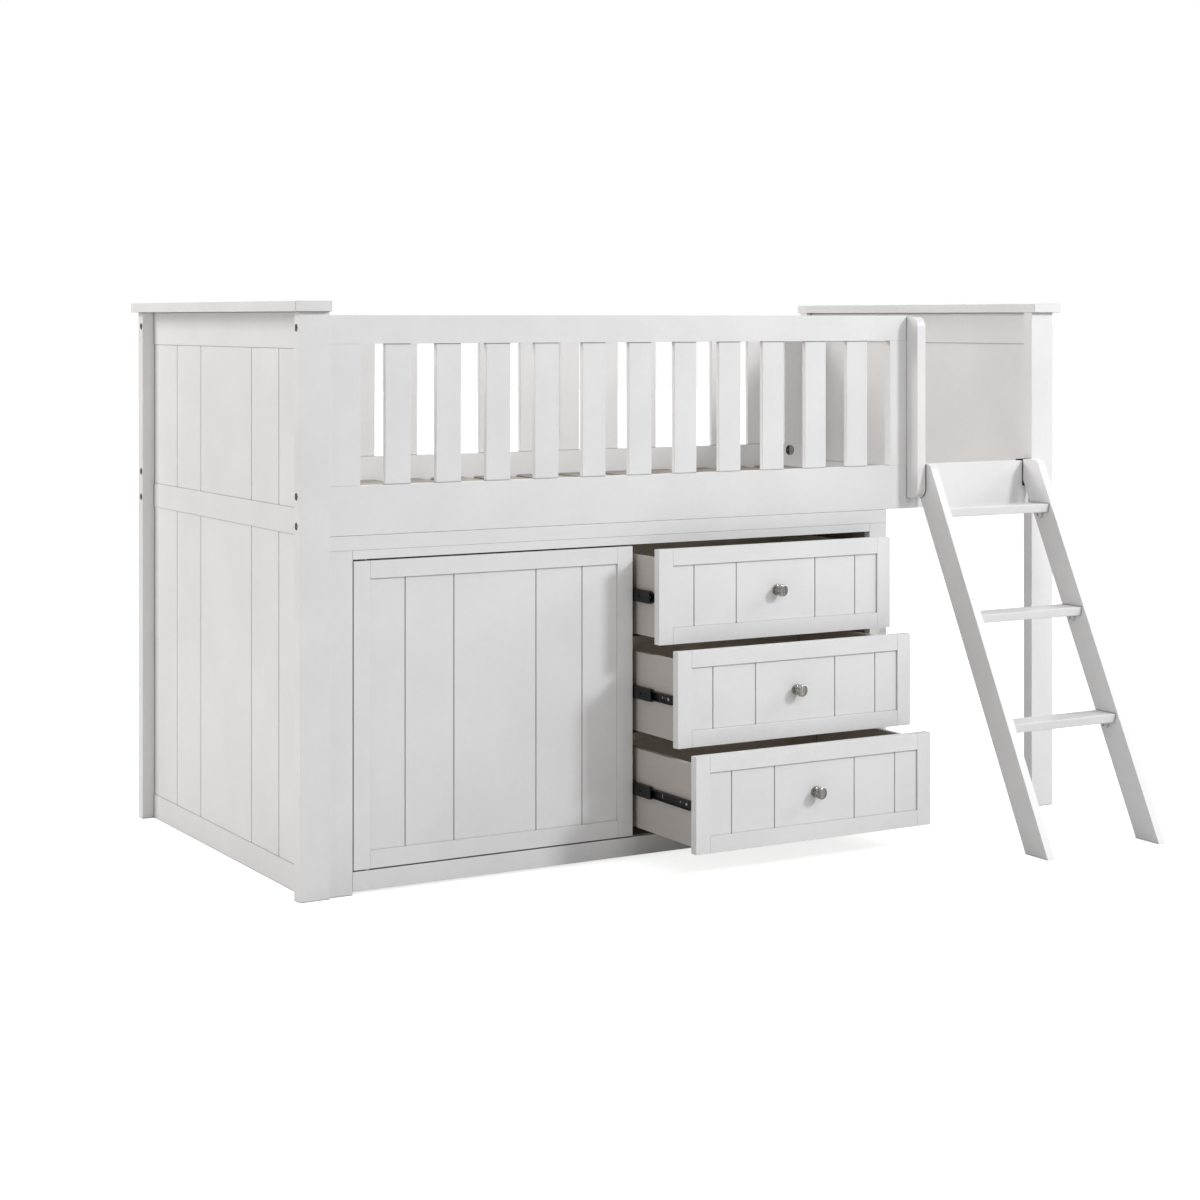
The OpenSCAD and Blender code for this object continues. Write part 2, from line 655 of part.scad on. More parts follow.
// Flat steel hooks: down the back of the stile, over the rail and down behind it
module hook(x0) difference() {
    along_x(x0, x0 + lstile_t) union() {
        translate([hook_y0, 790]) square([hook_t, ladder_top - 801]);
        translate([hook_y0, ladder_top - hook_t]) square([yf1 + 0.5 + hook_t - hook_y0, hook_t]);
        translate([yf1 + 0.5, 826]) square([hook_t, ladder_top - 826]);
    }
    for (z = [815, 838]) {
        rod_y(x0 + lstile_t / 2, hook_y0 - 1, hook_y0 + 5, z, 2.1, 32);
        translate([x0 + lstile_t / 2, hook_y0 + hook_t + 0.05, z]) rotate([90, 0, 0])
            cylinder(h = 2, r1 = 3.9, r2 = 2.1, $fn = 32);
    }
}
module ladder_hooks() place() color(black) {
    hook(ladder_x);
    hook(ladder_x + ladder_w - lstile_t);
}
// Small blocks under the ends of the treads, each screwed to its stile
blk = 10;
function block_y(k) = (lfront(tz(k)) + lback(tz(k) - tread_t)) / 2 + 5;
function block_z(k) = tz(k) - tread_t - 7.5;
module ladder_corner_blocks() place() color(nylon) for (k = [1:tread_n], e = [0, 1]) {
    x0 = e == 0 ? lxi0 : lxi1 - blk;
    y = block_y(k);
    z = block_z(k);
    difference() {
        union() {
            rod_x(x0, x0 + blk, y, z, 7, 64);
            board(x0, x0 + blk, y - 7, y + 7, z, z + 7.5);
        }
        rod_x(x0 - 1, x0 + blk + 1, y, z, 1.9, 24);
        rod_x(e == 0 ? x0 + blk - 4 : x0 - 1, e == 0 ? x0 + blk + 1 : x0 + 4, y, z, 3.8, 32);
    }
}
module ladder_screws() place() color(zinc) {
    for (k = [1:tread_n], e = [0, 1]) {
        // the head lies on the floor of the block's recess
        h = e == 0 ? lxi0 + blk - 4 : lxi1 - blk + 4;
        rod_x(e == 0 ? lxi0 - 11 : h - 0.1, e == 0 ? h + 0.1 : lxi1 + 11, block_y(k), block_z(k), 1.6, 24);
        rod_x(e == 0 ? h : h - 2.4, e == 0 ? h + 2.4 : h, block_y(k), block_z(k), 3.4, 32);
    }
    for (x0 = [ladder_x, ladder_x + ladder_w - lstile_t], z = [815, 838])
        translate([x0 + lstile_t / 2, hook_y0 + hook_t - 0.2, z]) rotate([90, 0, 0])
            cylinder(h = 1.9, r1 = 3.6, r2 = 1.9, $fn = 32);
}

front_left_post();
back_left_post();
front_right_post();
back_right_post();
end_caps();
end_top_rails();
end_mid_rails();
left_bottom_rail();
left_upper_panel();
left_lower_panel();
right_upper_panel();
front_side_rail();
back_side_rail();
front_guard_rail();
back_guard_rail();
guard_stiles();
guard_slats();
grab_post();
slat_ledgers();
bed_slats();
bed_bolts();
half_moon_nuts();
cabinet_top();
cabinet_left_side();
cabinet_right_side();
cabinet_divider();
cabinet_floor();
cabinet_back();
face_stiles();
face_top_rail();
plinth();
drawer_dust_rails();
slide_cabinet_members();
door_frame();
door_panel();
door_pivot_pins();
door_catch();
drawer_1_front();
drawer_1_box();
drawer_1_bottom();
drawer_1_knob();
slide_1_drawer_members();
slide_1_middle_members();
drawer_2_front();
drawer_2_box();
drawer_2_bottom();
drawer_2_knob();
slide_2_drawer_members();
slide_2_middle_members();
drawer_3_front();
drawer_3_box();
drawer_3_bottom();
drawer_3_knob();
slide_3_drawer_members();
slide_3_middle_members();
ladder_stiles();
ladder_treads();
ladder_hooks();
ladder_corner_blocks();
ladder_screws();
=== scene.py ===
"""Looks of the cabin bed: every CAD node gets rounded edges and a node-based material."""
import json
import math
import random

import bmesh
import bpy
from mathutils import Matrix, Vector


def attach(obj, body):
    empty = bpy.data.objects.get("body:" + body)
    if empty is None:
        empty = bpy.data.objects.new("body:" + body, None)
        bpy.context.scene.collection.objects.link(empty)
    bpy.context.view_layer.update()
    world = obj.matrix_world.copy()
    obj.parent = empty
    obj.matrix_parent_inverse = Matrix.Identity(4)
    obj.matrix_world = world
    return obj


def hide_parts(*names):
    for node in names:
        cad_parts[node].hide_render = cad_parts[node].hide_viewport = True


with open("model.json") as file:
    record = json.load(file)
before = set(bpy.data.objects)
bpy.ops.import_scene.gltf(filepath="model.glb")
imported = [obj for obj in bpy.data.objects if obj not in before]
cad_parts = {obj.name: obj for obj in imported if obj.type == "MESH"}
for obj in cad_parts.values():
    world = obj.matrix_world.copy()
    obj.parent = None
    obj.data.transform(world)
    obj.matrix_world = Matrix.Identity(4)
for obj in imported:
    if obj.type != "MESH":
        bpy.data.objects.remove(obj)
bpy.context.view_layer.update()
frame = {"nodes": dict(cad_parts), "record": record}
NODES = frame["nodes"]
BODY = {n: b for b, ns in frame["record"]["behaviour"]["bodies"].items() for n in ns}
MM = 0.001
scene = bpy.context.scene


# ---- node helpers ----------------------------------------------------------

class Tree:
    """A material's node tree, with short ways to add and join nodes."""

    def __init__(self, name):
        self.m = bpy.data.materials.new(name)
        self.m.use_nodes = True
        self.nt = self.m.node_tree
        self.nt.nodes.clear()
        self.out = self.add("ShaderNodeOutputMaterial")
        self.bsdf = self.add("ShaderNodeBsdfPrincipled")
        self.join(self.bsdf.outputs[0], self.out.inputs[0])

    def add(self, kind, ins=None, **props):
        node = self.nt.nodes.new(kind)
        for k, v in props.items():
            setattr(node, k, v)
        for k, v in (ins or {}).items():
            if isinstance(v, bpy.types.NodeSocket):
                self.nt.links.new(v, node.inputs[k])
            else:
                node.inputs[k].default_value = v
        return node

    def join(self, a, b):
        self.nt.links.new(a, b)

    def attr(self, name, out="Vector"):
        return self.add("ShaderNodeAttribute", attribute_name=name).outputs[out]

    def scaled(self, vec, xyz):
        return self.add("ShaderNodeVectorMath", {0: vec, 1: xyz}, operation="MULTIPLY").outputs[0]

    def noise(self, vec, scale, detail=3.0, rough=0.55, out="Fac", **props):
        return self.add("ShaderNodeTexNoise", {"Vector": vec, "Scale": scale, "Detail": detail, "Roughness": rough}, **props).outputs[out]

    def math(self, op, a, b=0.0, c=0.0, clamp=False):
        return self.add("ShaderNodeMath", {0: a, 1: b, 2: c}, operation=op, use_clamp=clamp).outputs[0]

    def span(self, val, a, b, c, d):
        return self.add("ShaderNodeMapRange", {"Value": val, "From Min": a, "From Max": b, "To Min": c, "To Max": d}).outputs[0]

    def ramp(self, val, stops):
        node = self.add("ShaderNodeValToRGB", {"Fac": val})
        cr = node.color_ramp
        while len(cr.elements) < len(stops):
            cr.elements.new(0.5)
        for e, (p, col) in zip(cr.elements, stops):
            e.position = p
            e.color = (*col, 1.0)
        return node.outputs[0]

    def mix(self, fac, a, b, blend="MIX"):
        node = self.add("ShaderNodeMix", data_type="RGBA", blend_type=blend)
        for k, v in ((0, fac), (6, a), (7, b)):
            if isinstance(v, bpy.types.NodeSocket):
                self.join(v, node.inputs[k])
            else:
                node.inputs[k].default_value = (*v, 1.0) if isinstance(v, tuple) else v
        return node.outputs[2]

    def bump(self, height, strength, distance, normal=None):
        ins = {"Height": height, "Strength": strength, "Distance": distance}
        if normal is not None:
            ins["Normal"] = normal
        return self.add("ShaderNodeBump", ins).outputs[0]

    def paint_crevice_shade(self, col, dark, near=0.004):
        """Darkens a colour in grooves, joint lines and inner corners narrower than near, read from ambient occlusion:
        painted shade.
        """
        ao = self.add("ShaderNodeAmbientOcclusion", {"Distance": near}, samples=6).outputs["AO"]
        f = self.span(ao, 0.40, 0.93, 0.0, 1.0)
        return self.mix(f, self.mix(1.0, col, dark, "MULTIPLY"), col)

    def finish(self, colour=None, rough=None, normal=None, **consts):
        for k, v in (("Base Color", colour), ("Roughness", rough), ("Normal", normal)):
            if v is None:
                continue
            if isinstance(v, bpy.types.NodeSocket):
                self.join(v, self.bsdf.inputs[k])
            else:
                self.bsdf.inputs[k].default_value = v
        for k, v in consts.items():
            self.bsdf.inputs[k.replace("_", " ")].default_value = v
        return self.m


def paint(name, base, rough=0.36, grain=0.25, dark=(0.28, 0.27, 0.26), edge_wear_and_shade=0.88, cover=0.15):
    """Satin paint sprayed on board: an even coat over the faint ridges of what is below it, darker and a touch warmer
    on the rounded edges, partly as worn paint and partly as painted shade.
    """
    t = Tree(name)
    bc = t.attr("bc")
    cloud = t.noise(bc, 5.0, 3.0)
    fine = t.noise(bc, 60.0, 2.0)
    tone = t.math("ADD", t.math("MULTIPLY", cloud, 0.75), t.math("MULTIPLY", fine, 0.25))
    lo = tuple(c * 0.965 for c in base)
    hi = tuple(min(1.0, c * 1.02) for c in base)
    col = t.mix(t.span(tone, 0.35, 0.65, 0.0, 1.0), lo, hi)
    # rounded edges: a darker, warmer tone all along them, which is painted shade, and more of it in patches where hands
    # rub the paint thin
    edge = t.attr("edge", "Fac")
    rub = t.span(t.noise(bc, 26.0, 4.0, 0.6), 0.5, 0.72, 0.0, 1.0)
    worn_and_shaded_edge = (base[0] * (edge_wear_and_shade + 0.015), base[1] * edge_wear_and_shade, base[2] * (edge_wear_and_shade - 0.015))
    col = t.mix(t.math("MULTIPLY", edge, t.math("MULTIPLY_ADD", rub, 0.35, cover)), col, worn_and_shaded_edge)
    # painted shade in grooves, joint lines and inner corners, towards the colour dark
    col = t.paint_crevice_shade(col, dark)
    # surface: spray texture, and ridges along the board
    peel = t.noise(bc, 520.0, 2.0, 0.5)
    ridge = t.noise(t.scaled(bc, (6.0, 190.0, 190.0)), 1.0, 3.0, 0.6)
    wave = t.noise(bc, 22.0, 1.0, 0.4)
    n1 = t.bump(peel, 0.10, 0.00022)
    n2 = t.bump(ridge, grain, 0.00018, n1)
    n3 = t.bump(wave, 0.20, 0.0006, n2)
    r = t.span(t.math("ADD", t.math("MULTIPLY", cloud, 0.6), t.math("MULTIPLY", ridge, 0.4)), 0.3, 0.7, rough - 0.05, rough + 0.07)
    return t.finish(col, r, n3, Specular_IOR_Level=0.45, Coat_Weight=0.08, Coat_Roughness=0.25)


def foil(name, base):
    """The off-white foil on the drawer boxes: a faint linear print and a flat sheen."""
    t = Tree(name)
    bc = t.attr("bc")
    lines = t.noise(t.scaled(bc, (5.0, 320.0, 320.0)), 1.0, 3.0, 0.65)
    cloud = t.noise(bc, 7.0, 2.0)
    f = t.math("ADD", t.math("MULTIPLY", lines, 0.6), t.math("MULTIPLY", cloud, 0.4))
    col = t.mix(t.span(f, 0.32, 0.68, 0.0, 1.0), tuple(c * 0.93 for c in base), tuple(min(1, c * 1.03) for c in base))
    # painted shade in the foil's grooves and inner corners
    col = t.paint_crevice_shade(col, (0.5, 0.48, 0.45))
    n1 = t.bump(lines, 0.2, 0.00012)
    r = t.span(cloud, 0.3, 0.7, 0.42, 0.52)
    return t.finish(col, r, n1, Specular_IOR_Level=0.35)


def pine(name, light, dark, rough=0.5, ringscale=95.0):
    """Planed softwood: growth rings cut along the board, fibres, and a few darker streaks."""
    t = Tree(name)
    bc = t.attr("bc")
    bend = t.noise(t.scaled(bc, (2.2, 9.0, 9.0)), 1.0, 3.0, 0.55, out="Color")
    off = t.add("ShaderNodeVectorMath", {0: bend, 1: (0.5, 0.5, 0.5)}, operation="SUBTRACT").outputs[0]
    off = t.scaled(off, (0.0, 0.030, 0.030))
    p = t.add("ShaderNodeVectorMath", {0: bc, 1: off}, operation="ADD").outputs[0]
    s = t.add("ShaderNodeSeparateXYZ", {0: p})
    y, z = s.outputs[1], t.math("ADD", s.outputs[2], 0.06)
    rad = t.math("SQRT", t.math("ADD", t.math("MULTIPLY", y, y), t.math("MULTIPLY", z, z)))
    saw = t.math("FRACT", t.math("MULTIPLY", rad, ringscale))
    late = t.math("POWER", saw, 3.0)
    fibre = t.noise(t.scaled(bc, (14.0, 900.0, 900.0)), 1.0, 3.0, 0.6)
    streak = t.noise(t.scaled(bc, (1.6, 40.0, 40.0)), 1.0, 2.0, 0.5)
    f = t.math("ADD", t.math("MULTIPLY", late, 0.55), t.math("MULTIPLY", t.span(streak, 0.35, 0.7, 0.0, 1.0), 0.35))
    f = t.math("ADD", f, t.math("MULTIPLY", t.span(fibre, 0.35, 0.65, -0.5, 0.5), 0.22), clamp=True)
    col = t.ramp(f, [(0.0, light), (0.45, tuple(a * 0.6 + b * 0.4 for a, b in zip(light, dark))), (1.0, dark)])
    seed = t.attr("seed", "Fac")
    col = t.mix(t.span(seed, 0.0, 1.0, 0.0, 0.28), col, tuple(0.82 * c for c in dark), "MIX")
    n1 = t.bump(fibre, 0.35, 0.00012)
    n2 = t.bump(late, 0.18, 0.00016, n1)
    r = t.span(f, 0.0, 1.0, rough + 0.08, rough - 0.05)
    return t.finish(col, r, n2, Specular_IOR_Level=0.35)


def nickel(name):
    """Brushed nickel, turned: rings round the axis, a slight tarnish, and a painted highlight and reflection fanning
    over its colour.
    """
    t = Tree(name)
    ax = t.attr("axial")          # distance from the axis, height along it, angle
    rings = t.noise(t.scaled(ax, (2600.0, 2600.0, 2.0)), 1.0, 3.0, 0.7)
    cloud = t.noise(ax, 90.0, 2.0)
    # bright and dark fans over the face and down the side: a painted highlight and reflection of a turned face
    fan_highlight = t.noise(t.scaled(ax, (0.0, 0.0, 480.0)), 1.0, 2.0, 0.6)
    f = t.math("ADD", t.math("MULTIPLY", t.span(fan_highlight, 0.40, 0.60, 0.0, 1.0), 0.75), t.math("MULTIPLY", t.span(cloud, 0.3, 0.7, 0.0, 1.0), 0.25))
    col = t.mix(f, (0.05, 0.047, 0.043), (0.60, 0.58, 0.55))
    r = t.span(rings, 0.25, 0.75, 0.14, 0.24)
    n1 = t.bump(rings, 0.22, 0.00006)
    t.join(t.add("ShaderNodeTangent", direction_type="RADIAL", axis="Y").outputs[0], t.bsdf.inputs["Tangent"])
    return t.finish(col, r, n1, Metallic=1.0, Anisotropic=0.8)


def metal(name, lo, hi, r0, r1, scale=260.0, metallic=1.0, bump=0.12, shine=0.5, crevice_shade=None):
    t = Tree(name)
    bc = t.attr("bc")
    a = t.noise(bc, scale, 4.0, 0.6)
    b = t.noise(bc, scale * 0.13, 3.0, 0.6)
    f = t.math("ADD", t.math("MULTIPLY", a, 0.5), t.math("MULTIPLY", b, 0.5))
    col = t.mix(t.span(f, 0.3, 0.7, 0.0, 1.0), lo, hi)
    edge = t.attr("edge", "Fac")
    bright = tuple(min(1.0, c * 1.6 + 0.02) for c in hi)
    col = t.mix(t.math("MULTIPLY", edge, t.span(a, 0.45, 0.65, 0.0, 0.6)), col, bright)
    # painted shade in the hollows, when a colour for it is given
    if crevice_shade:
        col = t.paint_crevice_shade(col, crevice_shade, 0.0035)
    r = t.span(f, 0.3, 0.7, r0, r1)
    return t.finish(col, r, t.bump(a, bump, 0.00008), Metallic=metallic, Specular_IOR_Level=shine)


def plastic(name, base, rough=0.42):
    t = Tree(name)
    bc = t.attr("bc")
    a = t.noise(bc, 700.0, 3.0, 0.6)
    b = t.noise(bc, 40.0, 2.0)
    col = t.mix(t.span(b, 0.3, 0.7, 0.0, 1.0), tuple(c * 0.95 for c in base), base)
    return t.finish(col, t.span(a, 0.3, 0.7, rough - 0.05, rough + 0.06), t.bump(a, 0.12, 0.0001), Specular_IOR_Level=0.4)


WHITE = paint("satin_white_paint", (0.802, 0.797, 0.798))
# posts and caps: rounded edges much darker all along, mostly painted shade along their corners, with wear in patches
POSTS = paint("satin_white_posts", (0.802, 0.797, 0.798), edge_wear_and_shade=0.62, cover=0.55)
FRONTS = paint("satin_white_fronts", (0.802, 0.797, 0.798), dark=(0.66, 0.65, 0.64), edge_wear_and_shade=0.92, cover=0.08)
INSIDE = paint("inner_white_paint", (0.78, 0.755, 0.72), rough=0.45)
# the cabinet's inner boards: a dark greige, its darkness partly painted shade of the cabinet's inside
CARCASS = foil("carcass_foil", (0.38, 0.33, 0.285))
FOIL = foil("drawer_foil", (0.495, 0.46, 0.428))
FOIL_IN = foil("drawer_foil_inner", (0.75, 0.70, 0.63))
PINE = pine("planed_pine", (0.43, 0.385, 0.34), (0.28, 0.235, 0.195))
# much darker than the raw end wood: painted shade inside the bolts' counterbores
BORE = pine("bored_wood", (0.16, 0.12, 0.085), (0.07, 0.05, 0.035), rough=0.7, ringscale=160.0)
RAW = pine("raw_end_wood", (0.42, 0.27, 0.15), (0.22, 0.125, 0.06), rough=0.7, ringscale=160.0)
NICKEL = nickel("brushed_nickel")
BLACK = metal("black_zinc_steel", (0.005, 0.005, 0.0055), (0.011, 0.011, 0.0115), 0.28, 0.42, 300.0, 0.0, 0.12, 0.22)
HOOK = metal("black_powder_coat", (0.006, 0.006, 0.0065), (0.013, 0.013, 0.013), 0.38, 0.52, 420.0, 0.0, 0.3, 0.25)
ZINC = metal("zinc_plate", (0.30, 0.30, 0.31), (0.44, 0.44, 0.46), 0.30, 0.45, 340.0)
# bolt heads: painted shade in the hollows round them
BOLT = metal("bolt_zinc", (0.22, 0.205, 0.185), (0.36, 0.34, 0.315), 0.30, 0.45, 340.0, crevice_shade=(0.12, 0.11, 0.10))
NYLON = plastic("white_nylon", (0.78, 0.78, 0.77))


# ---- meshes ----------------------------------------------------------------

def islands(bm):
    """The loose parts of a bmesh, in a fixed order."""
    seen, parts = set(), []
    bm.verts.ensure_lookup_table()
    for v in bm.verts:
        if v in seen:
            continue
        stack, part = [v], []
        seen.add(v)
        while stack:
            a = stack.pop()
            part.append(a)
            for e in a.link_edges:
                b = e.other_vert(a)
                if b not in seen:
                    seen.add(b)
                    stack.append(b)
        parts.append(part)
    return parts


def long_axes(verts, tilt=None):
    """Three axes, longest first, of a board: the world's, or with the first along tilt."""
    if tilt is not None:
        a = Vector(tilt).normalized()
        b = a.cross(Vector((1, 0, 0))).normalized()
        return [a, b, Vector((1, 0, 0))]
    size = [(max(v.co[i] for v in verts) - min(v.co[i] for v in verts), -i) for i in range(3)]
    order = [-i for _, i in sorted(size, reverse=True)]
    return [Vector([1.0 if k == i else 0.0 for k in range(3)]) for i in order]


def rounded(node, long_w, end_w, segments=3, tilt=None, angle=28.0):
    """A copy of a CAD node's mesh with its convex edges rounded: long_w along each board, end_w across its ends. Returns the mesh."""
    bm = bmesh.new()
    bm.from_mesh(NODES[node].data)
    bmesh.ops.remove_doubles(bm, verts=bm.verts, dist=2e-6)
    bmesh.ops.dissolve_limit(bm, angle_limit=math.radians(0.6), verts=bm.verts, edges=bm.edges)
    bmesh.ops.recalc_face_normals(bm, faces=bm.faces)
    top = max(long_w, end_w)
    layer = bm.edges.layers.float.new("bevel_weight_edge")
    for part in islands(bm):
        axes = long_axes(part, tilt)
        for e in {e for v in part for e in v.link_edges}:
            if not e.is_manifold or not e.is_convex or e.calc_face_angle(0.0) < math.radians(angle):
                continue
            d = (e.verts[0].co - e.verts[1].co)
            if d.length < 1e-6:
                continue
            along = abs(d.normalized().dot(axes[0])) > 0.97 and d.length > 0.02
            e[layer] = (long_w if along else end_w) / top
    me = bpy.data.meshes.new(node + "_raw")
    bm.to_mesh(me)
    bm.free()
    ob = bpy.data.objects.new(node + "_raw", me)
    scene.collection.objects.link(ob)
    ob.data.polygons.foreach_set("use_smooth", [True] * len(ob.data.polygons))
    if top > 0:
        b = ob.modifiers.new("round", "BEVEL")
        b.limit_method = "WEIGHT"
        b.width = top
        b.segments = segments
        b.use_clamp_overlap = True
        b.material = -1
        b.miter_outer = "MITER_ARC"
    w = ob.modifiers.new("flat", "WEIGHTED_NORMAL")
    w.keep_sharp = True
    w.weight = 80
    bpy.context.view_layer.update()
    dg = bpy.context.evaluated_depsgraph_get()
    done = bpy.data.meshes.new_from_object(ob.evaluated_get(dg), preserve_all_data_layers=True, depsgraph=dg)
    bpy.data.objects.remove(ob)
    bpy.data.meshes.remove(me)
    return done


def measure(me, name, tilt=None, turned=False):
    """Writes board coordinates, a seed for each board and the rounded edges as attributes."""
    rnd = random.Random("bed_" + name)
    bm = bmesh.new()
    bm.from_mesh(me)
    parts = islands(bm)
    bc = [None] * len(bm.verts)
    sd = [0.0] * len(bm.verts)
    for part in parts:
        axes = long_axes(part, tilt)
        lo = [min(v.co.dot(a) for v in part) for a in axes]
        shift = Vector((rnd.uniform(0, 8), rnd.uniform(-0.05, 0.05), rnd.uniform(-0.01, 0.03)))
        mid = [(min(v.co.dot(a) for v in part) + max(v.co.dot(a) for v in part)) / 2 for a in axes]
        s = rnd.random()
        for v in part:
            bc[v.index] = (v.co.dot(axes[0]) - lo[0] + shift[0], v.co.dot(axes[1]) - mid[1] + shift[1], v.co.dot(axes[2]) - mid[2] + shift[2])
            sd[v.index] = s
    edge = []
    for f in bm.faces:
        edge.append(1.0 if f.calc_area() < 4.0e-4 and min(e.calc_length() for e in f.edges) < 1.6 * MM else 0.0)
    bm.free()
    a = me.attributes.new("bc", "FLOAT_VECTOR", "POINT")
    a.data.foreach_set("vector", [c for v in bc for c in v])
    a = me.attributes.new("seed", "FLOAT", "POINT")
    a.data.foreach_set("value", sd)
    if turned:
        # distance from the axis (along Y), place along it, angle round it
        cx = (min(v.co.x for v in me.vertices) + max(v.co.x for v in me.vertices)) / 2
        cz = (min(v.co.z for v in me.vertices) + max(v.co.z for v in me.vertices)) / 2
        a = me.attributes.new("axial", "FLOAT_VECTOR", "POINT")
        a.data.foreach_set("vector", [c for v in me.vertices for c in (
            math.hypot(v.co.x - cx, v.co.z - cz), v.co.y, 0.004 * abs(math.atan2(v.co.z - cz, v.co.x - cx)))])
    a = me.attributes.new("edge", "FLOAT", "FACE")
    a.data.foreach_set("value", edge)


def piece(node, mat, long_w=1.5, end_w=0.6, segments=3, tilt=None, turned=False):
    me = rounded(node, long_w * MM, end_w * MM, segments, tilt)
    me.name = node + "_mesh"
    measure(me, node, tilt, turned)
    me.materials.clear()
    me.materials.append(mat)
    ob = bpy.data.objects.new("look_" + node, me)
    scene.collection.objects.link(ob)
    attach(ob, BODY[node])
    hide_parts(node)
    return ob


def repaint(ob, mat, test):
    """Gives the faces that test picks a second material."""
    ob.data.materials.append(mat)
    k = len(ob.data.materials) - 1
    for p in ob.data.polygons:
        if test(p.center, p.normal):
            p.material_index = k


# frame boards
for n in ("front_left_post", "back_left_post", "front_right_post", "back_right_post"):
    post = piece(n, POSTS, 1.2, 0.8)
    # the bolts' counterbores are cut through the paint into bare wood, coloured much darker than the raw wood in the
    # nut pockets: partly painted shade inside the bores
    lo, hi = Vector(post.bound_box[0]), Vector(post.bound_box[6])
    repaint(post, BORE, lambda c, nrm, lo=lo, hi=hi: min(c.x - lo.x, hi.x - c.x) > 0.0012 and min(c.y - lo.y, hi.y - c.y) > 0.004 and min(c.z - lo.z, hi.z - c.z) > 0.004)
piece("end_caps", POSTS, 1.2, 1.2)
for n in ("end_top_rails", "end_mid_rails", "left_bottom_rail"):
    piece(n, WHITE, 1.0, 0.7)
for n in ("left_upper_panel", "left_lower_panel", "right_upper_panel"):
    piece(n, WHITE, 0.8, 0.7, 2)
rails = [piece(n, WHITE, 1.6, 0.8) for n in ("front_side_rail", "back_side_rail", "front_guard_rail", "back_guard_rail")]
piece("guard_stiles", FRONTS, 1.4, 0.8)
piece("guard_slats", WHITE, 1.6, 0.5)
piece("grab_post", FRONTS, 0.9, 0.9)
piece("slat_ledgers", INSIDE, 1.2, 0.8)
piece("bed_slats", PINE, 2.2, 1.2)

# the round pockets of the nuts are bare wood inside
for r in rails:
    lo, hi = Vector(r.bound_box[0]), Vector(r.bound_box[6])
    def pocket(c, nrm, lo=lo, hi=hi):
        deep = min(c.y - lo.y, hi.y - c.y)
        return deep > 0.0012 and abs(nrm.x) + abs(nrm.z) > 0.2 and lo.x + 0.030 < c.x < hi.x - 0.030 and lo.z + 0.004 < c.z < hi.z - 0.004 or (
            deep > 0.003 and abs(nrm.y) > 0.9 and lo.z + 0.004 < c.z < hi.z - 0.004)
    repaint(r, RAW, pocket)

# cabinet
top = piece("cabinet_top", WHITE, 1.0, 0.5)
front_y = top.bound_box[0][1]
# the top's underside inside the cabinet takes the dark inner colour, partly painted shade
repaint(top, CARCASS, lambda c, nrm: nrm.z < -0.9 and c.y > front_y + 0.03)
for n in ("cabinet_divider", "cabinet_floor"):
    piece(n, CARCASS, 0.5, 0.4, 2)
# inner faces of the sides and back take the dark inner colour, partly painted shade
for n, way in (("cabinet_left_side", (1, 0, 0)), ("cabinet_right_side", (-1, 0, 0)), ("cabinet_back", (0, -1, 0))):
    repaint(piece(n, WHITE, 0.5, 0.4, 2), CARCASS, lambda c, nrm, way=Vector(way): nrm.dot(way) > 0.9)
piece("face_stiles", WHITE, 1.4, 0.5)
piece("face_top_rail", WHITE, 1.0, 0.3)
piece("plinth", WHITE, 1.0, 0.3)
piece("drawer_dust_rails", CARCASS, 0.8, 0.4)

# door
piece("door_frame", FRONTS, 1.0, 0.3)
piece("door_panel", FRONTS, 0.9, 0.3, 2)
piece("door_pivot_pins", ZINC, 0.3, 0.3, 2)
piece("door_catch", NYLON, 0.4, 0.3, 2)

# drawers
for i in (1, 2, 3):
    piece(f"drawer_{i}_front", FRONTS, 1.0, 0.6)
    box = piece(f"drawer_{i}_box", FOIL, 0.7, 0.5)
    lo, hi = Vector(box.bound_box[0]), Vector(box.bound_box[6])
    def inward(c, nrm, lo=lo, hi=hi):
        return (0.010 < c.x - lo.x < 0.016 and nrm.x > 0.9) or (0.010 < hi.x - c.x < 0.016 and nrm.x < -0.9) or (
            0.010 < c.y - lo.y < 0.016 and nrm.y > 0.9) or (0.010 < hi.y - c.y < 0.016 and nrm.y < -0.9)
    repaint(box, FOIL_IN, inward)
    piece(f"drawer_{i}_bottom", FOIL_IN, 0.3, 0.3, 1)
    piece(f"drawer_{i}_knob", NICKEL, 0.3, 0.3, 2, turned=True)
    piece(f"slide_{i}_drawer_members", BLACK, 0.25, 0.2, 2)
    piece(f"slide_{i}_middle_members", BLACK, 0.25, 0.2, 2)
piece("slide_cabinet_members", BLACK, 0.25, 0.2, 2)


# the small screws that hold the slides' narrow members to the drawer boxes
def turned(profile, n=32):
    """A closed body turned round +X: profile is (distance along X, radius) from pole to pole."""
    bm = bmesh.new()
    rows = []
    for x, r in profile:
        rows.append([bm.verts.new((x, 0, 0))] if r == 0 else [
            bm.verts.new((x, r * math.cos(2 * math.pi * k / n), r * math.sin(2 * math.pi * k / n))) for k in range(n)])
    for a, b in zip(rows, rows[1:]):
        for k in range(n):
            m = (k + 1) % n
            if len(a) == 1:
                bm.faces.new((a[0], b[k], b[m]))
            elif len(b) == 1:
                bm.faces.new((a[k], b[0], a[m]))
            else:
                bm.faces.new((a[k], b[k], b[m], a[m]))
    bmesh.ops.recalc_face_normals(bm, faces=bm.faces)
    return bm


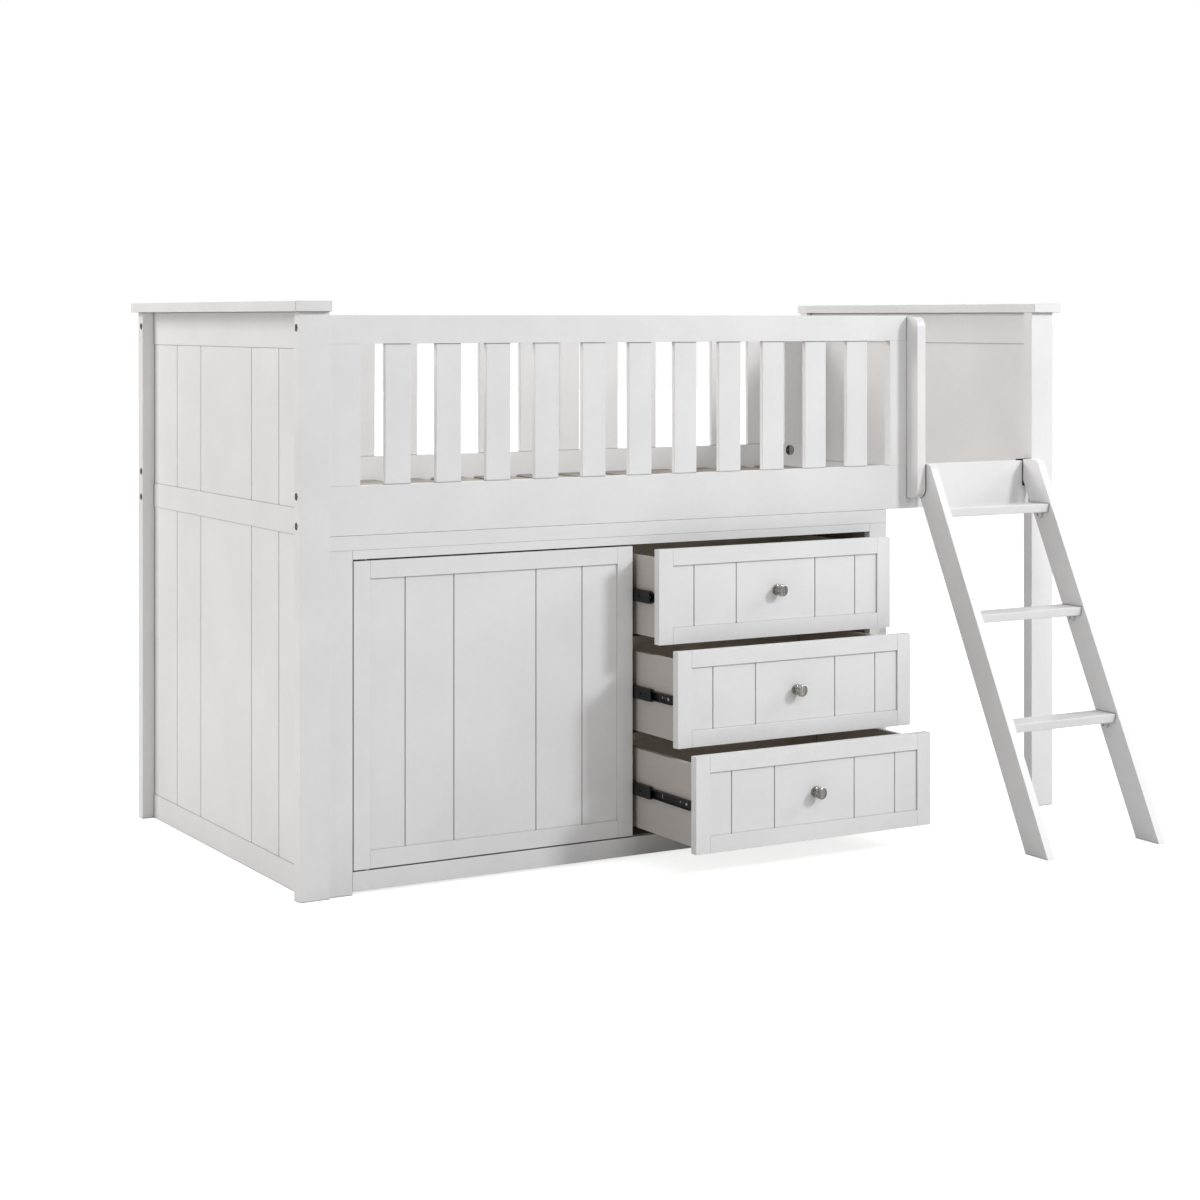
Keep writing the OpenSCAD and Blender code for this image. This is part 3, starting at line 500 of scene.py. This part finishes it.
def slide_screws(i):
    """Domed heads with a shallow round recess, on the outer face of both narrow members of drawer i."""
    src = NODES[f"slide_{i}_drawer_members"].data
    co = [v.co for v in src.vertices]
    x0, x1 = min(c.x for c in co), max(c.x for c in co)
    y0 = min(c.y for c in co)
    z = (min(c.z for c in co) + max(c.z for c in co)) / 2
    whole = bmesh.new()
    for side in (0, 1):
        # the web of each member is 1.2 mm thick, its outer side turned to the cabinet
        web = (x0 + 7.3 * MM) if side == 0 else (x1 - 7.3 * MM)
        for along, r, h in ((19.2, 3.9, 1.9), (44.1, 2.6, 1.4)):
            prof = [(1.0 * MM, 0), (1.0 * MM, r * 0.40 * MM), (0, r * 0.42 * MM), (0, r * MM), (-h * 0.35 * MM, r * MM * 0.99),
                (-h * 0.72 * MM, r * MM * 0.84), (-h * 0.93 * MM, r * MM * 0.60), (-h * MM, r * MM * 0.36), (-h * MM, r * MM * 0.30),
                (-h * 0.45 * MM, r * MM * 0.14), (-h * 0.4 * MM, 0)]
            bm = turned(prof)
            if side == 1:
                bmesh.ops.scale(bm, vec=(-1, 1, 1), verts=bm.verts)
                bmesh.ops.reverse_faces(bm, faces=bm.faces)
            bmesh.ops.translate(bm, vec=(web, y0 + along * MM, z + (1.0 * MM if r < 3 else 0)), verts=bm.verts)
            tmp = bpy.data.meshes.new("tmp")
            bm.to_mesh(tmp)
            bm.free()
            whole.from_mesh(tmp)
            bpy.data.meshes.remove(tmp)
    me = bpy.data.meshes.new(f"slide_{i}_screws_mesh")
    whole.to_mesh(me)
    whole.free()
    me.polygons.foreach_set("use_smooth", [True] * len(me.polygons))
    measure(me, f"slide_{i}_screws")
    me.materials.append(ZINC)
    ob = bpy.data.objects.new(f"look_slide_{i}_screws", me)
    scene.collection.objects.link(ob)
    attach(ob, f"drawer_{i}")
    return ob


for i in (1, 2, 3):
    slide_screws(i)

# fixings
piece("bed_bolts", BOLT, 0.9, 0.9, 2)
piece("half_moon_nuts", ZINC, 0.4, 0.4, 2)

# ladder
lean = (0.0, 0.4433, 0.8964)
piece("ladder_stiles", WHITE, 1.2, 1.0, tilt=lean)
piece("ladder_treads", WHITE, 1.8, 0.6)
piece("ladder_hooks", HOOK, 0.6, 0.4, 2)
piece("ladder_corner_blocks", NYLON, 0.5, 0.4, 2)
piece("ladder_screws", ZINC, 0.3, 0.3, 2)


# ---- stage, light and camera -----------------------------------------------

def floor():
    me = bpy.data.meshes.new("floor")
    s = 30.0
    me.from_pydata([(-s, -s, 0), (s, -s, 0), (s, s, 0), (-s, s, 0)], [], [(0, 1, 2, 3)])
    ob = bpy.data.objects.new("floor", me)
    scene.collection.objects.link(ob)
    t = Tree("studio_floor")
    co = t.add("ShaderNodeTexCoord").outputs["Object"]
    f = t.noise(co, 1.2, 2.0)
    col = t.mix(f, (0.565, 0.565, 0.565), (0.585, 0.585, 0.585))
    t.finish(col, 0.7, t.bump(t.noise(co, 60.0, 2.0), 0.05, 0.001), Specular_IOR_Level=0.2)
    # white sweep: overexposed to the eye, ordinary pale floor to the light that bounces off it
    seen = t.add("ShaderNodeLightPath").outputs["Is Camera Ray"]
    far = t.add("ShaderNodeVectorMath", {0: co}, operation="LENGTH").outputs["Value"]
    glow = t.add("ShaderNodeEmission", {"Color": (1.0, 1.0, 1.0, 1.0), "Strength": t.math("MULTIPLY", seen, t.span(far, 1.5, 6.0, 0.80, 1.0))})
    both = t.add("ShaderNodeAddShader", {0: t.bsdf.outputs[0], 1: glow.outputs[0]})
    t.join(both.outputs[0], t.out.inputs[0])
    me.materials.append(t.m)


floor()

world = bpy.data.worlds.new("studio")
scene.world = world
world.use_nodes = True
bg = world.node_tree.nodes["Background"]
bg.inputs["Color"].default_value = (1.0, 1.0, 1.0, 1.0)
bg.inputs["Strength"].default_value = 0.30
white_bg = world.node_tree.nodes.new("ShaderNodeBackground")
white_bg.inputs["Color"].default_value = (1.0, 1.0, 1.0, 1.0)
white_bg.inputs["Strength"].default_value = 1.0
pick = world.node_tree.nodes.new("ShaderNodeMixShader")
world.node_tree.links.new(world.node_tree.nodes.new("ShaderNodeLightPath").outputs["Is Camera Ray"], pick.inputs[0])
world.node_tree.links.new(bg.outputs[0], pick.inputs[1])
world.node_tree.links.new(white_bg.outputs[0], pick.inputs[2])
world.node_tree.links.new(pick.outputs[0], world.node_tree.nodes["World Output"].inputs["Surface"])


def area(name, at, to, size, power, colour=(1.0, 1.0, 1.0)):
    light = bpy.data.lights.new(name, "AREA")
    light.shape = "RECTANGLE"
    light.size, light.size_y = size
    light.energy = power
    light.color = colour
    ob = bpy.data.objects.new(name, light)
    ob.location = at
    ob.rotation_euler = (Vector(to) - Vector(at)).to_track_quat("-Z", "Y").to_euler()
    scene.collection.objects.link(ob)
    return ob


area("key", (3.4, -4.85, 3.8), (0.4, -0.2, 0.7), (1.0, 1.0), 183, (0.982, 0.99, 1.0))
area("front_high", (0.2, -4.6, 3.6), (0.0, -0.2, 0.6), (1.6, 1.6), 39)
area("right_end", (4.6, -1.6, 3.0), (0.4, 0.0, 0.6), (1.5, 1.5), 74, (0.97, 0.985, 1.0))
area("right_high", (4.4, 0.6, 3.4), (0.4, 0.0, 0.8), (2.0, 2.0), 48, (0.97, 0.985, 1.0))
area("left_front", (-5.2, -1.4, 1.7), (0.0, -0.4, 0.5), (2.4, 2.4), 41, (1.0, 0.975, 0.945))
area("left_back_high", (-4.0, 2.4, 3.2), (-0.9, 0.0, 0.6), (2.0, 2.0), 113, (1.0, 0.98, 0.955))
area("back_high", (0.2, 3.2, 4.2), (0.0, 0.0, 0.9), (3.0, 2.0), 120)

cam_data = bpy.data.cameras.new("camera")
cam_data.sensor_width = 36.0
cam_data.sensor_fit = "HORIZONTAL"
cam_data.lens = 71.877
cam_data.shift_x = 0.0
cam_data.shift_y = -0.2348
cam_data.clip_start, cam_data.clip_end = 0.05, 100.0
camera = bpy.data.objects.new("camera", cam_data)
camera.location = (-2.92626, -4.82188, 1.19904)
camera.rotation_euler = (math.radians(90.0), 0.0, math.radians(-30.059))
scene.collection.objects.link(camera)
scene.camera = camera

scene.view_settings.view_transform = "Standard"
scene.view_settings.look = "None"
scene.view_settings.exposure = 0.0
scene.view_settings.gamma = 1.0

bpy.context.view_layer.update()
